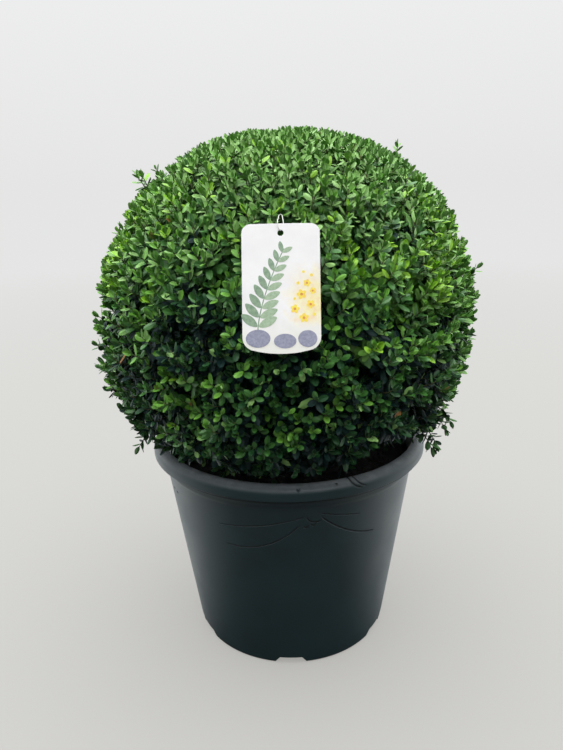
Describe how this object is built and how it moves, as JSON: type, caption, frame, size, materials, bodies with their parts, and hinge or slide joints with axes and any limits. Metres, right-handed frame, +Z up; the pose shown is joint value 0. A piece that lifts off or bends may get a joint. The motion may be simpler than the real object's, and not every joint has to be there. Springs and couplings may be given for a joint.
{
  "type": "clipped box ball in a nursery pot",
  "caption": "Clipped evergreen box ball on a short stem, growing in a round tapered plastic nursery pot, with a small label card hanging on its front.",
  "frame": {"origin": "centre of the pot's underside, on the surface that the pot stands on", "axes": "+Z up along the pot's axis; -Y is the front, where the label hangs; +X is to the right seen from the front"},
  "size_m": [0.4459, 0.4494, 0.6233],
  "materials": {
    "pot_plastic": "smooth dark grey plastic with a soft sheen and a few scuffs",
    "potting_soil": "dark moist crumbs of peat and bark",
    "bark": "rough grey-brown bark",
    "foliage": "small glossy evergreen leaves",
    "label_card": "thin smooth card with a plain soft print",
    "label_thread": "thin pale thread"
  },
  "bodies": {
    "root": {"pot": "pot_plastic", "soil": "potting_soil", "trunk": "bark", "foliage_ball": "foliage", "label_card": "label_card", "label_loop": "label_thread"}
  },
  "joints": []
}
